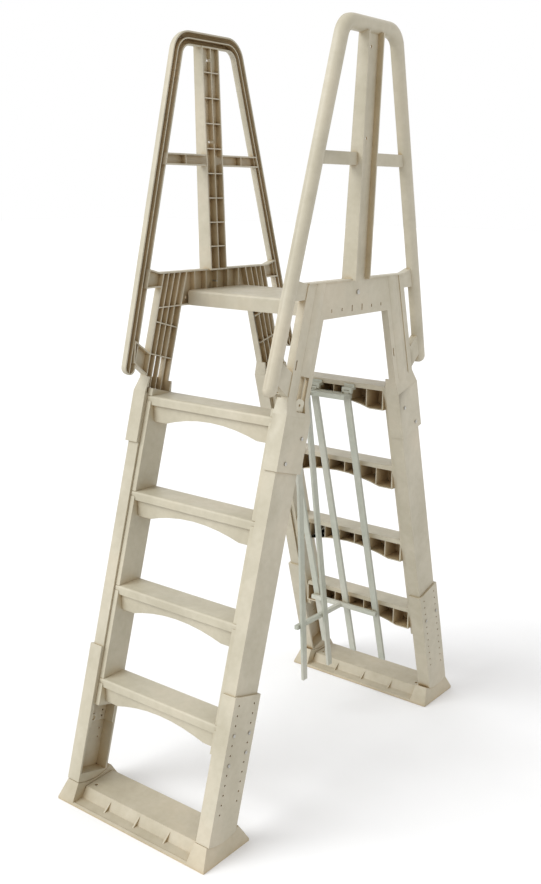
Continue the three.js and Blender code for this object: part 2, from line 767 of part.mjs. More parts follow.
function panelOutlines() {
  const railInset = HANDRAIL_HALF / 2;
  const edge = LEG_HALF;
  const wingBottom = BEAM_TOP_Z - WING_HEIGHT;
  const flareZ = BEAM_TOP_Z + BEAM_FLARE;
  const legStart = COLLAR_TOP_S - COLLAR_CAP / 2;
  const legOutline = [
    legPoint(-edge, legStart),
    legPoint(edge, legStart),
    [legLineY(edge, BEAM_TOP_Z), BEAM_TOP_Z],
    [legLineY(-edge, BEAM_TOP_Z), BEAM_TOP_Z],
  ];
  const bracketTop = BEAM_BOTTOM_Z - BRACKET_BELOW_BEAM;
  const bracketBottom = bracketTop - BRACKET_HEIGHT;
  const legFront = (z) => legLineY(-edge + PANEL_WALL, z);
  const bracketOutline = [
    [handrailY(bracketTop), bracketTop],
    [handrailY(bracketBottom) + railInset, bracketBottom],
    [legFront(bracketBottom - BRACKET_FALL), bracketBottom - BRACKET_FALL],
    [legFront(bracketTop - BRACKET_FALL), bracketTop - BRACKET_FALL],
  ];
  const wingOutline = [
    [handrailY(flareZ) + railInset, flareZ],
    [handrailY(wingBottom) + railInset, wingBottom],
    [legFront(wingBottom), wingBottom],
    [legLineY(-edge + PANEL_WALL, BEAM_TOP_Z), BEAM_TOP_Z],
    [handrailY(flareZ) + BEAM_FLARE_LENGTH, BEAM_TOP_Z],
  ];
  const crossbarBottom = CROSSBAR_TOP_Z - CROSSBAR_HEIGHT;
  const crossbarOutline = [
    [handrailY(crossbarBottom) + railInset, crossbarBottom],
    [0, crossbarBottom],
    [0, CROSSBAR_TOP_Z],
    [handrailY(CROSSBAR_TOP_Z) + railInset, CROSSBAR_TOP_Z],
  ];
  const halfBeam = -legLineY(edge - PANEL_WALL, BEAM_BOTTOM_Z);
  const beamOutline = [
    [-halfBeam, BEAM_BOTTOM_Z],
    [halfBeam, BEAM_BOTTOM_Z],
    [-legLineY(edge - PANEL_WALL, BEAM_TOP_Z), BEAM_TOP_Z],
    [legLineY(edge - PANEL_WALL, BEAM_TOP_Z), BEAM_TOP_Z],
  ];
  return { legOutline, bracketOutline, wingOutline, crossbarOutline, beamOutline };
}

// The post is an H in section: a pocketed side towards the centre plane and an open channel
// on the outer side, whose floor runs on into the beam's face.
function postParts() {
  const z0 = BEAM_TOP_Z - PANEL_WALL;
  const z1 = HANDRAIL_TOP_Z - HANDRAIL_HALF + HANDRAIL_WALL;
  const webInner = PANEL_OUTER_X - PANEL_WALL;
  const outline = [
    [POST_FOOT_INNER_X, z0],
    [POST_OUTER_X, z0],
    [POST_OUTER_X, z1],
    [POST_TOP_INNER_X, z1],
  ];
  const clear = POST_HALF_WIDTH - PANEL_WALL;
  const body = prismY(outline, -POST_HALF_WIDTH, POST_HALF_WIDTH);
  const ribZone = prismY(outline, -clear - EPS, clear + EPS);
  const count = Math.round((z1 - z0) / POST_RIB_PITCH);
  const crossRibs = Array.from({ length: count - 1 }, (_, i) => {
    const z = z0 + ((i + 1) * (z1 - z0)) / count;
    return box(
      POST_FOOT_INNER_X,
      webInner + EPS,
      -clear - EPS,
      clear + EPS,
      z - PANEL_RIB / 2,
      z + PANEL_RIB / 2,
    );
  });
  const middleRib = box(
    POST_FOOT_INNER_X,
    webInner + EPS,
    -PANEL_RIB / 2,
    PANEL_RIB / 2,
    z0,
    z1,
  );
  const pocketZ0 = z0 + PANEL_WALL;
  const pocketZ1 = z1 - PANEL_WALL;
  return {
    full: body,
    pocket: joined(
      box(POST_FOOT_INNER_X - EPS, webInner, -clear, clear, pocketZ0, pocketZ1),
      box(PANEL_OUTER_X, POST_OUTER_X + EPS, -clear, clear, z0 - EPS, z1 + EPS),
    ),
    ribs: joined(crossRibs, middleRib).intersect(ribZone),
    holes: POST_HOLE_RISE.map((rise) =>
      rodX(POST_HOLE, POST_FOOT_INNER_X - EPS, PANEL_OUTER_X + EPS, 0, PLATFORM_HEIGHT + rise, 12),
    ),
  };
}

// Leans the upper part of a panel outwards, a little more the higher it is.
function flared(solid) {
  return solid.warp((point) => {
    point[0] += (point[2] - FLARE_START_Z) * FLARE;
  });
}

// The space round a front leg, up to the top of the panel's beam.
function underBeamTop() {
  return box(0, SLEEVE_OUTER_X, -LEG_SPREAD, 0, 0, BEAM_TOP_Z);
}

function legRibs() {
  const s0 = COLLAR_TOP_S;
  const s1 = BEAM_TOP_Z / COS;
  const lengthwise = [-1, 0, 1].map((lane) => {
    const y = LEG_RIB_OFFSET + lane * LEG_RIB_SPACING;
    return box(
      PANEL_INNER_X,
      PANEL_OUTER_X - EPS,
      y - PANEL_RIB / 2,
      y + PANEL_RIB / 2,
      s0 - COLLAR_CAP / 2,
      s1,
    );
  });
  const across = LEG_RIB_SHARES.map((share) => {
    const s = s0 + (s1 - s0) * share;
    return box(
      PANEL_INNER_X,
      PANEL_OUTER_X - EPS,
      -LEG_HALF + EPS,
      LEG_HALF - EPS,
      s - PANEL_RIB / 2,
      s + PANEL_RIB / 2,
    );
  });
  const level = box(
    PANEL_INNER_X,
    PANEL_OUTER_X - EPS,
    legLineY(-LEG_HALF + EPS, BEAM_BOTTOM_Z),
    legLineY(LEG_HALF, BEAM_BOTTOM_Z),
    BEAM_BOTTOM_Z,
    BEAM_BOTTOM_Z + PANEL_RIB,
  );
  return joined(leaned(joined(lengthwise, across)).intersect(underBeamTop()), level);
}

// The pad and the rounded ridge that run up a leg's outer face to the top of the beam.
function legRidges() {
  const s1 = (BEAM_TOP_Z + LEG_HALF) / COS;
  const inner = PANEL_OUTER_X - EPS;
  const middle = (GROOVE_REAR + RIDGE_REAR) / 2;
  const half = (RIDGE_REAR - GROOVE_REAR) / 2;
  const crown = Array.from({ length: RIDGE_STEPS + 1 }, (_, i) => {
    const angle = (i * Math.PI) / RIDGE_STEPS;
    return [inner + (PANEL_RIDGE + EPS) * Math.sin(angle), middle - half * Math.cos(angle)];
  });
  const pad = box(
    inner,
    PANEL_OUTER_X + PANEL_RIDGE / 2,
    -LEG_HALF,
    GROOVE_FRONT,
    COLLAR_TOP_S - EPS,
    s1,
  );
  const ridge = prismZ(crown, COLLAR_TOP_S - EPS, s1);
  return leaned(joined(pad, ridge)).intersect(underBeamTop());
}

// Sloping shoulders between the collar and the panel's leg.
function shoulderSolid() {
  const s0 = COLLAR_TOP_S - COLLAR_CAP;
  const s1 = COLLAR_TOP_S + SHOULDER_HEIGHT;
  const acrossOutline = [
    [-SLEEVE_HALF, s0],
    [SLEEVE_HALF, s0],
    [LEG_HALF, s1],
    [-LEG_HALF, s1],
  ];
  const outwardOutline = [
    [LEG_LIP_X, s0],
    [SLEEVE_OUTER_X, s0],
    [PANEL_OUTER_X, s1],
    [LEG_LIP_X, s1],
  ];
  return cut(
    prismX(acrossOutline, LEG_LIP_X, SLEEVE_OUTER_X).intersect(
      prismY(outwardOutline, -SLEEVE_HALF, SLEEVE_HALF),
    ),
    box(
      LEG_LIP_X - EPS,
      PANEL_OUTER_X - PANEL_WALL,
      -LEG_HALF + PANEL_WALL,
      LEG_HALF - PANEL_WALL,
      COLLAR_TOP_S - COLLAR_CAP / 2 + EPS,
      s1 + EPS,
    ),
    box(
      LEG_LIP_X - EPS,
      PANEL_INNER_X,
      -SLEEVE_HALF + SLEEVE_WALL,
      SLEEVE_HALF - SLEEVE_WALL,
      s0 - EPS,
      COLLAR_TOP_S + EPS,
    ),
  );
}

function collarSolid() {
  const straightTop = COLLAR_TOP_S - COLLAR_CAP + EPS;
  const shell = cut(
    box(LEG_LIP_X, SLEEVE_OUTER_X, -SLEEVE_HALF, SLEEVE_HALF, COLLAR_BOTTOM_S, straightTop),
    box(
      LEG_LIP_X - EPS,
      SLEEVE_OUTER_X - SLEEVE_WALL,
      -SLEEVE_HALF + SLEEVE_WALL,
      SLEEVE_HALF - SLEEVE_WALL,
      COLLAR_BOTTOM_S - EPS,
      COLLAR_TOP_S - COLLAR_CAP,
    ),
    box(
      LEG_LIP_X - EPS,
      PANEL_INNER_X,
      -SLEEVE_HALF + SLEEVE_WALL,
      SLEEVE_HALF - SLEEVE_WALL,
      COLLAR_BOTTOM_S - EPS,
      COLLAR_TOP_S + EPS,
    ),
    fastenerHoles(collarScrews, SLEEVE_OUTER_X - SLEEVE_WALL - EPS, SLEEVE_OUTER_X + EPS),
  );
  return leaned(joined(shell, shoulderSolid()));
}

// Upright slots in the faces of the legs and of the beam.
function slotCuts() {
  const x0 = PANEL_OUTER_X - PANEL_WALL - EPS;
  const x1 = PANEL_OUTER_X + PANEL_RIDGE + EPS;
  const middle = COLLAR_TOP_S + LEG_SLOT_ABOVE_COLLAR;
  const offsetY = LEG_HALF - LEG_SLOT_FROM_EDGE;
  const legSlot = (offset) =>
    leaned(
      box(
        x0,
        x1,
        offset - LEG_SLOT_WIDTH / 2,
        offset + LEG_SLOT_WIDTH / 2,
        middle - LEG_SLOT_HEIGHT / 2,
        middle + LEG_SLOT_HEIGHT / 2,
      ),
    );
  const z = BEAM_BOTTOM_Z + BEAM_SLOT_Z;
  const beamSlots = BEAM_SLOT_HEIGHTS.map((height, i) => {
    const y = (i - (BEAM_SLOT_HEIGHTS.length - 1) / 2) * BEAM_SLOT_PITCH;
    const half = BEAM_SLOT_WIDTH / 2;
    return box(x0, x1, y - half, y + half, z - height / 2, z + height / 2);
  });
  return [legSlot(-offsetY), legSlot(offsetY).mirror([0, 1, 0]), ...beamSlots];
}

function windowCut() {
  const half = WINDOW_WIDTH / 2;
  return leaned(
    box(
      PANEL_OUTER_X - PANEL_WALL - TAB_CLEARANCE,
      SLEEVE_OUTER_X,
      WINDOW_OFFSET - half,
      WINDOW_OFFSET + half,
      WINDOW_BOTTOM_S,
      WINDOW_BOTTOM_S + WINDOW_HEIGHT,
    ),
  );
}

function panelSolid() {
  const { legOutline, bracketOutline, wingOutline, crossbarOutline, beamOutline } =
    panelOutlines();
  const lowerPairs = [legOutline, bracketOutline, wingOutline];
  const lower = [...lowerPairs, ...lowerPairs.map(mirroredY), beamOutline].map((outline) =>
    trayed(outline, PANEL_INNER_X, PANEL_OUTER_X),
  );
  const upper = [crossbarOutline, mirroredY(crossbarOutline)].map((outline) =>
    trayed(outline, PANEL_INNER_X, PANEL_OUTER_X),
  );
  const post = postParts();
  const moulded = cut(
    joined(
      lower.map(({ full }) => full),
      flared(joined(upper.map(({ full }) => full), post.full)),
    ),
    lower.map(({ pocket }) => pocket),
    flared(joined(upper.map(({ pocket }) => pocket), post.pocket)),
  );
  const legLine = -legLineY(LEG_HALF, BEAM_BOTTOM_Z);
  const beamRibCount = Math.floor(legLine / BEAM_RIB_PITCH - 0.5);
  const beamRibs = Array.from({ length: 2 * beamRibCount + 1 }, (_, i) => {
    const y = (i - beamRibCount) * BEAM_RIB_PITCH;
    return box(
      PANEL_INNER_X,
      PANEL_OUTER_X - EPS,
      y - PANEL_RIB / 2,
      y + PANEL_RIB / 2,
      BEAM_BOTTOM_Z + EPS,
      BEAM_TOP_Z - EPS,
    );
  });
  const middle = (POST_HALF_WIDTH - handrailY(CROSSBAR_TOP_Z)) / 2;
  const crossbarRibs = [-middle, middle].map((y) =>
    box(
      PANEL_INNER_X,
      PANEL_OUTER_X - EPS,
      y - PANEL_RIB / 2,
      y + PANEL_RIB / 2,
      CROSSBAR_TOP_Z - CROSSBAR_HEIGHT + EPS,
      CROSSBAR_TOP_Z - EPS,
    ),
  );
  const ledgeHalf = -legLineY(-LEG_HALF, BEAM_TOP_Z);
  const ledges = [
    [-ledgeHalf, -POST_HALF_WIDTH + EPS],
    [POST_HALF_WIDTH - EPS, ledgeHalf],
  ].map(([y0, y1]) =>
    box(
      PANEL_OUTER_X - EPS,
      PANEL_OUTER_X + BEAM_LEDGE,
      y0,
      y1,
      BEAM_TOP_Z - PANEL_WALL,
      BEAM_TOP_Z,
    ),
  );
  const frontLeg = joined(legRibs(), legRidges(), collarSolid());
  const rearLeg = joined(legRibs(), legRidges(), collarSolid()).mirror([0, 1, 0]);
  const whole = joined(
    moulded,
    flared(joined(handrailSolid(), post.ribs, crossbarRibs)),
    beamRibs,
    ledges,
    frontLeg,
    rearLeg,
  );
  return cut(
    whole,
    windowCut(),
    slotCuts(),
    flared(joined(post.holes)),
    rodX(HOLE_DIAMETER, PANEL_INNER_X - EPS, PANEL_OUTER_X + EPS, 0, BEAM_BOLT_Z, 8),
  );
}

function beamBoltSolid() {
  return joined(
    rodX(SCREW_SHANK, PANEL_INNER_X, PANEL_OUTER_X + FIT + SCREW_END, 0, BEAM_BOLT_Z, 6),
    rodX(
      SCREW_HEAD + SCREW_HEAD_HEIGHT,
      PANEL_OUTER_X + FIT,
      PANEL_OUTER_X + FIT + SCREW_END,
      0,
      BEAM_BOLT_Z,
      10,
    ),
  );
}

function tabSolid() {
  const half = WINDOW_WIDTH / 2 - TAB_CLEARANCE;
  const x1 = PANEL_OUTER_X - FIT;
  const x0 = x1 - TAB_THICKNESS;
  const bottom = WINDOW_BOTTOM_S + TAB_CLEARANCE;
  const shoulder = bottom + TAB_HEIGHT - half / 2;
  const crown = Array.from({ length: TAB_CROWN_STEPS + 1 }, (_, i) => {
    const angle = (i * Math.PI) / TAB_CROWN_STEPS;
    return [WINDOW_OFFSET + half * Math.cos(angle), shoulder + (half / 2) * Math.sin(angle)];
  });
  const outline = [[WINDOW_OFFSET - half, bottom], [WINDOW_OFFSET + half, bottom], ...crown];
  return leaned(
    cut(
      prismX(outline, x0, x1),
      rodX(TAB_KEYHOLE, x0 - EPS, x1 + EPS, WINDOW_OFFSET, bottom + TAB_HEIGHT / 2, 10),
    ),
  );
}

// ---------------------------------------------------------------- base trays
// The tray's low lip lies outside (lipSide 1) or towards the ladder's middle (lipSide -1).
function baseSolid(lipSide) {
  const depth = TRAY_HALF_DEPTH;
  const blockOuter = TRAY_HALF_LENGTH;
  const profile = [
    [-depth, 0],
    [TRAY_REAR_FOOT, 0],
    [TRAY_REAR_TOP, TRAY_SHELF],
    [-TRAY_RISER_TOP, TRAY_SHELF - TRAY_WALL / 2],
    [-TRAY_RISER_FOOT, TRAY_FLOOR],
    [-depth + TRAY_FLOOR, TRAY_FLOOR - TRAY_WALL / 2],
    [-depth + TRAY_WALL, TRAY_FLOOR],
    [-depth, TRAY_FRONT_LIP],
  ];
  const roomOutline = [
    [-TRAY_RISER_FOOT + TRAY_WALL, -EPS],
    [TRAY_REAR_FOOT - TRAY_WALL, -EPS],
    [TRAY_REAR_TOP - TRAY_WALL, TRAY_SHELF - TRAY_WALL],
    [-TRAY_RISER_TOP + TRAY_WALL, TRAY_SHELF - 2 * TRAY_WALL],
  ];
  const shift = (outline) => outline.map(([y, z]) => [lipSide * y - TRAY_CENTRE_Y, z]);
  const bays = GUSSET_COUNT + 1;
  const bay = (2 * BLOCK_INNER_X) / bays;
  const tray = prismX(shift(profile), -BLOCK_INNER_X - EPS, BLOCK_INNER_X + EPS);
  const rooms = Array.from({ length: bays }, (_, i) => {
    const x0 = -BLOCK_INNER_X + i * bay + TRAY_WALL / 2;
    return prismX(shift(roomOutline), x0, x0 + bay - TRAY_WALL);
  });
  const gussetOutline = [
    [-TRAY_RISER_FOOT - GUSSET_REACH, TRAY_FLOOR - TRAY_WALL],
    [-TRAY_RISER_TOP, TRAY_FLOOR - TRAY_WALL],
    [-TRAY_RISER_TOP, TRAY_SHELF - TRAY_WALL],
  ];
  const gussets = Array.from({ length: GUSSET_COUNT }, (_, i) => {
    const x = (i - (GUSSET_COUNT - 1) / 2) * GUSSET_PITCH;
    return prismX(shift(gussetOutline), x - TRAY_WALL / 2, x + TRAY_WALL / 2);
  });
  const holeX = BLOCK_INNER_X - TRAY_HOLE_FROM_BLOCK;
  const holes = [-holeX, holeX].map((x) =>
    rodZ(
      TRAY_HOLE,
      TRAY_SHELF - 2 * TRAY_WALL - EPS,
      TRAY_SHELF + EPS,
      x,
      lipSide * TRAY_HOLE_Y - TRAY_CENTRE_Y,
      12,
    ),
  );
  const sideProfile = [
    [-depth, 0],
    [depth, 0],
    [depth, TRAY_FRONT_LIP],
    [depth - BLOCK_END_SLOPE, BLOCK_HEIGHT],
    [-depth + BLOCK_END_SLOPE, BLOCK_HEIGHT],
    [-depth, TRAY_FRONT_LIP],
  ];
  const endProfile = [
    [BLOCK_INNER_X, 0],
    [blockOuter, 0],
    [blockOuter, TRAY_FRONT_LIP],
    [blockOuter - BLOCK_SIDE_SLOPE, BLOCK_HEIGHT],
    [BLOCK_INNER_X + TRAY_WALL, BLOCK_HEIGHT],
  ];
  const y0 = -TRAY_CENTRE_Y - depth;
  const y1 = -TRAY_CENTRE_Y + depth;
  const solidBlock = prismX(shift(sideProfile), BLOCK_INNER_X, blockOuter).intersect(
    prismY(endProfile, y0, y1),
  );
  const cavity = box(
    BLOCK_INNER_X + TRAY_WALL,
    blockOuter - BLOCK_SIDE_SLOPE - TRAY_WALL,
    y0 + BLOCK_END_SLOPE,
    y1 - BLOCK_END_SLOPE,
    -EPS,
    SADDLE_LOW_Z - 2 * TRAY_WALL,
  );
  const block = cut(solidBlock, saddleRod(SADDLE_RADIUS), cavity);
  return joined(cut(tray, rooms, holes), gussets, block, block.mirror([1, 0, 0]));
}

// ---------------------------------------------------------------- barrier
const rearLipY = -treadFrontY(0) - TREAD_DEPTH;
const BARRIER_TOP_Y = rearLipY - BARRIER_FROM_LIP;
const BARRIER_TOP_Z = treadTopZ(0) - BARRIER_BELOW_TREAD;
const barrierY = (z) => BARRIER_TOP_Y + (BARRIER_TOP_Z - z) * BARRIER_LEAN;

// A flat slat from one (y, z) point to another, its middle at x.
function slatSolid(x, top, bottom, wide, deep) {
  const half = deep / 2;
  return prismX(
    [
      [bottom[0] - half, bottom[1]],
      [bottom[0] + half, bottom[1]],
      [top[0] + half, top[1]],
      [top[0] - half, top[1]],
    ],
    x - wide / 2,
    x + wide / 2,
  );
}

const barrierEndX = BARRIER_SLAT_X[BARRIER_SLAT_X.length - 1];
const wingX = BARRIER_SLAT_X[1];
const slatTopZ = BARRIER_TOP_Z - FIT;
const hangerX = HANGER_RIBS.map(treadRibX);
const hingeY = BARRIER_TOP_Y;
const hingeZ = BARRIER_TOP_Z + BARRIER_BAR + HINGE_CHEEK / 2 + FIT;

function barrierTopSolid() {
  const z0 = BARRIER_TOP_Z;
  const z1 = BARRIER_TOP_Z + BARRIER_BAR;
  const x0 = barrierEndX - SLAT_WIDTH / 2;
  const x1 = BARRIER_SLAT_X[0] + SLAT_WIDTH / 2;
  const half = BARRIER_BAR / 2;
  const wingEnd = hingeY + WING_SLAT_TOP[1] - half;
  const outer = BARRIER_TOP_Y - BARRIER_FRAME_DEPTH;
  const frame = joined(
    box(x0, x1, BARRIER_TOP_Y - half, BARRIER_TOP_Y + half, z0, z1),
    box(x0, x1, outer - half, outer + half, z0, z1),
    box(x0, x0 + BARRIER_BAR, outer, BARRIER_TOP_Y, z0, z1),
    box(x1 - BARRIER_BAR, x1, outer, BARRIER_TOP_Y, z0, z1),
    box(wingX - half, wingX + half, wingEnd, BARRIER_TOP_Y, z0, z1),
  );
  const lugs = hangerX.map((x) => {
    const x0 = x - HINGE_LUG_WIDTH / 2;
    const x1 = x + HINGE_LUG_WIDTH / 2;
    const radius = HINGE_LUG / 2;
    return joined(
      rodX(HINGE_LUG, x0, x1, hingeY, hingeZ, HINGE_SIDES),
      box(x0, x1, hingeY - radius, hingeY + radius, z1 - EPS, hingeZ),
    );
  });
  const bore = rodX(HINGE_BORE, x0 - EPS, x1 + EPS, hingeY, hingeZ, HINGE_SIDES);
  return cut(joined(frame, lugs), bore);
}

// A clip that the barrier hangs by: a jaw round the rear lip of the inside ladder's top tread,
// with two cheeks below it that hold the hinge pin.
function barrierHangerSolid(x) {
  const lipZ = treadTopZ(0) - TREAD_REAR_LIP;
  const half = HANGER_WIDTH / 2;
  const top = treadTopZ(0) - TREAD_PLATE - FIT;
  const floorZ = hingeZ + HINGE_LUG / 2 + FIT;
  const inside = rearLipY + TREAD_RIB + FIT;
  const front = hingeY - HINGE_CHEEK / 2;
  const jaw = joined(
    box(x - half, x + half, rearLipY - FIT - HANGER_PLATE, rearLipY - FIT, floorZ, top),
    box(x - half, x + half, front, inside + HANGER_TONGUE, floorZ, lipZ - FIT),
    box(x - half, x + half, inside, inside + HANGER_TONGUE, floorZ, top - FIT),
  );
  const gap = HINGE_LUG_WIDTH / 2 + FIT;
  const cheeks = [
    [-half, -gap],
    [gap, half],
  ].map(([a, b]) =>
    joined(
      rodX(HINGE_CHEEK, x + a, x + b, hingeY, hingeZ, HINGE_SIDES),
      box(x + a, x + b, front, hingeY + HINGE_CHEEK / 2, hingeZ, floorZ + EPS),
    ),
  );
  const ribSlot = box(
    x - TREAD_RIB / 2 - FIT,
    x + TREAD_RIB / 2 + FIT,
    rearLipY,
    inside + HANGER_TONGUE + EPS,
    floorZ - EPS,
    top + EPS,
  );
  const pin = rodX(HINGE_PIN, x - half, x + half, hingeY, hingeZ, HINGE_SIDES);
  return joined(cut(jaw, ribSlot), cheeks, pin);
}

function slatLine(rowZ, top, bottom) {
  const share = (slatTopZ - rowZ) / (slatTopZ - BARRIER_BOTTOM_Z);
  return top + (bottom - top) * share;
}

function barrierBottomSolid() {
  const z0 = BARRIER_LOW_BAR_Z;
  const z1 = z0 + BARRIER_BAR;
  const half = BARRIER_BAR / 2;
  const y = barrierY(z0 + half) - SLAT_THICKNESS / 2 - BARRIER_BAR * (1 + BARRIER_LEAN) + half;
  const x0 = barrierEndX - SLAT_WIDTH / 2;
  const x1 = BARRIER_SLAT_X[0] + SLAT_WIDTH / 2;
  const wingEnd = slatLine(z0, hingeY + WING_SLAT_TOP[1], hingeY + WING_SLAT_BOTTOM[1]) - SLAT_WIDTH;
  const side = wingX - SLAT_THICKNESS / 2 - FIT;
  return joined(
    box(x0, x1, y - half, y + half, z0, z1),
    box(side - BARRIER_BAR, side, wingEnd, y, z0, z1),
  );
}

// ---------------------------------------------------------------- assembly
const BEIGE = 0xd6cfbd;
const PALE = 0xdfe2d8;
const STEEL = 0x9a9a96;

function meshOf(name, solid, color) {
  const material = new THREE.MeshStandardMaterial({
    color,
    roughness: color === STEEL ? 0.35 : 0.62,
    metalness: color === STEEL ? 1 : 0,
  });
  const mesh = new THREE.Mesh(geometryFrom(solid), material);
  mesh.name = name;
  return mesh;
}

const root = new THREE.Group();
const sides = [
  { side: "right", sx: 1 },
  { side: "left", sx: -1 },
];
const ends = [
  { end: "front", sy: 1 },
  { end: "rear", sy: -1 },
];

const panel = panelSolid();
const leg = legSolid();
const stile = stileSolid();
const sleeve = sleeveSolid();
const tread = treadSolid();
const frontBase = baseSolid(1);
const rearBase = baseSolid(-1);

function mirrored(sx, sy) {
  const group = new THREE.Group();
  group.scale.set(sx, sy, 1);
  root.add(group);
  return group;
}

for (const { side, sx } of sides) {
  const flank = mirrored(sx, 1);
  flank.add(meshOf(`panel_${side}`, panel, BEIGE));
  flank.add(meshOf(`lock_tab_${side}`, tabSolid(), BEIGE));
  flank.add(meshOf(`beam_bolt_${side}`, beamBoltSolid(), STEEL));
  flank.add(meshOf(`stop_knob_${side}`, knobSolid(), BEIGE));
  for (const { end, sy } of ends) {
    const corner = mirrored(sx, sy);
    corner.add(meshOf(`leg_${end}_${side}`, leg, BEIGE));
    corner.add(meshOf(`stile_${end}_${side}`, stile, BEIGE));
    corner.add(meshOf(`sleeve_${end}_${side}`, sleeve, BEIGE));
    collarScrews.forEach((point, i) => {
      const solid = screwSolid(point, LEG_OUTER_X - LEG_WALL - SCREW_END);
      corner.add(meshOf(`collar_screw_${end}_${side}_${i + 1}`, solid, STEEL));
    });
    const fitted = end === "front" ? sleeveScrews : sleeveScrews.filter(({ row }) => row === 3);
    fitted.forEach((point, i) => {
      const solid = screwSolid(point, SLEEVE_OUTER_X - SLEEVE_WALL);
      corner.add(meshOf(`sleeve_screw_${end}_${side}_${i + 1}`, solid, STEEL));
    });
  }
}

for (const { end, sy } of ends) {
  const half = mirrored(1, sy);
  half.add(meshOf(`base_${end}`, end === "front" ? frontBase : rearBase, BEIGE));
  for (const index of stepIndexes) {
    const mesh = meshOf(`tread_${end}_${index + 1}`, tread, BEIGE);
    mesh.position.set(0, treadFrontY(index), treadTopZ(index));
    half.add(mesh);
  }
}

root.add(meshOf("platform", platformSolid(), BEIGE));
root.add(meshOf("barrier_top_frame", barrierTopSolid(), PALE));
hangerX.forEach((x, i) => {
  root.add(meshOf(`barrier_hanger_${i + 1}`, barrierHangerSolid(x), PALE));
});
root.add(meshOf("barrier_bottom_frame", barrierBottomSolid(), PALE));
BARRIER_SLAT_X.forEach((x, i) => {
  const top = [barrierY(slatTopZ), slatTopZ];
  const bottom = [barrierY(BARRIER_BOTTOM_Z), BARRIER_BOTTOM_Z];
  root.add(meshOf(`barrier_slat_${i + 1}`, slatSolid(x, top, bottom, SLAT_WIDTH, SLAT_THICKNESS), PALE));
});
WING_SLAT_TOP.forEach((fromHinge, i) => {
  const top = [hingeY + fromHinge, slatTopZ];
  const bottom = [hingeY + WING_SLAT_BOTTOM[i], BARRIER_BOTTOM_Z];
  const solid = slatSolid(wingX, top, bottom, SLAT_THICKNESS, SLAT_WIDTH);
  root.add(meshOf(`barrier_wing_slat_${i + 1}`, solid, PALE));
});

export default root;
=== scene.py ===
"""Looks of the pool ladder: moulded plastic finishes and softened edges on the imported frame."""

import json
import math

import bpy
from mathutils import Matrix, Vector

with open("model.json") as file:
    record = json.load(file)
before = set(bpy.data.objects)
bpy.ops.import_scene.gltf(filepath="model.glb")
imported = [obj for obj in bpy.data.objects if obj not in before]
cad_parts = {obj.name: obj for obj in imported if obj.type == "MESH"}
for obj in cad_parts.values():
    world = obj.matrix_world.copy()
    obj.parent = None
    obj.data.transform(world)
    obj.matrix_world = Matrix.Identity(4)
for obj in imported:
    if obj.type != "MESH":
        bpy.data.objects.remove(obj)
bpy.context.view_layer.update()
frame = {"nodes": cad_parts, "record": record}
nodes = frame["nodes"]
scene = bpy.context.scene

# ------------------------------------------------------------------ camera
CAMERA_AT = Vector((1.69413, -2.23988, 1.61252))
CAMERA_YAW, CAMERA_PITCH, CAMERA_ROLL = (math.radians(a) for a in (37.49, 16.48, 0.64))
SENSOR_HEIGHT = 36.0
LENS = 41.76896
SHIFT_X, SHIFT_Y = -0.0012217, 0.0576244  # shares of the picture's height


def add_camera():
    forward = Vector(
        (
            -math.sin(CAMERA_YAW) * math.cos(CAMERA_PITCH),
            math.cos(CAMERA_YAW) * math.cos(CAMERA_PITCH),
            -math.sin(CAMERA_PITCH),
        )
    )
    level = Vector((math.cos(CAMERA_YAW), math.sin(CAMERA_YAW), 0))
    upright = level.cross(forward)
    right = level * math.cos(CAMERA_ROLL) + upright * math.sin(CAMERA_ROLL)
    up = upright * math.cos(CAMERA_ROLL) - level * math.sin(CAMERA_ROLL)
    data = bpy.data.cameras.new("camera")
    camera = bpy.data.objects.new("camera", data)
    scene.collection.objects.link(camera)
    camera.matrix_world = Matrix(
        [[right[i], up[i], -forward[i], CAMERA_AT[i]] for i in range(3)] + [[0, 0, 0, 1]]
    )
    data.sensor_fit = "VERTICAL"
    data.sensor_height = SENSOR_HEIGHT
    data.lens = LENS
    data.shift_x = SHIFT_X
    data.shift_y = SHIFT_Y
    scene.camera = camera


# ------------------------------------------------------------------ materials
WHITE = (1, 1, 1)
MIX_FACTOR, MIX_A, MIX_B, MIX_RESULT = 0, 6, 7, 2  # a colour Mix node's sockets

# Pigment: scales of the cloudy patches, the specks and the flow lines along the moulding.
CLOUD_SCALE, SPECK_SCALE, FLOW_SCALE = 4.2, 55, 9
FLOW_STRETCH = (1.0, 1.0, 0.12)
PIGMENT_STRENGTH = 0.45

# Painted shade: a brown darkening painted into the recesses, by how far the open space round a
# point reaches, in metres.
OCCLUSION_SAMPLES = 8
POCKET_SHADE_REACH, SEAM_SHADE_REACH = 0.10, 0.012
POCKET_PAINTED_SHADE = ((0.08, (0.80, 0.58, 0.34)), (0.36, (0.98, 0.81, 0.57)), (0.70, WHITE))
SEAM_PAINTED_SHADE = ((0.14, (0.42, 0.30, 0.18)), (0.50, WHITE))

# Surface: patches of gloss, shallow sink marks and an eroded grain.
GLOSS_SCALE, SINK_SCALE, GRAIN_SCALE = 38, 16, 1500
GLOSS_LOSS, GLOSS_GAIN = 0.06, 0.08
SINK_STRENGTH, SINK_DEPTH, GRAIN_DEPTH = 0.14, 0.004, 0.0004
PLASTIC_IOR, PLASTIC_SPECULAR = 1.49, 0.42

BRUSH_SCALE, BRUSH_STRENGTH, BRUSH_DEPTH = 240, 0.2, 0.0003
BRUSH_STRETCH = (0.05, 1.0, 1.0)


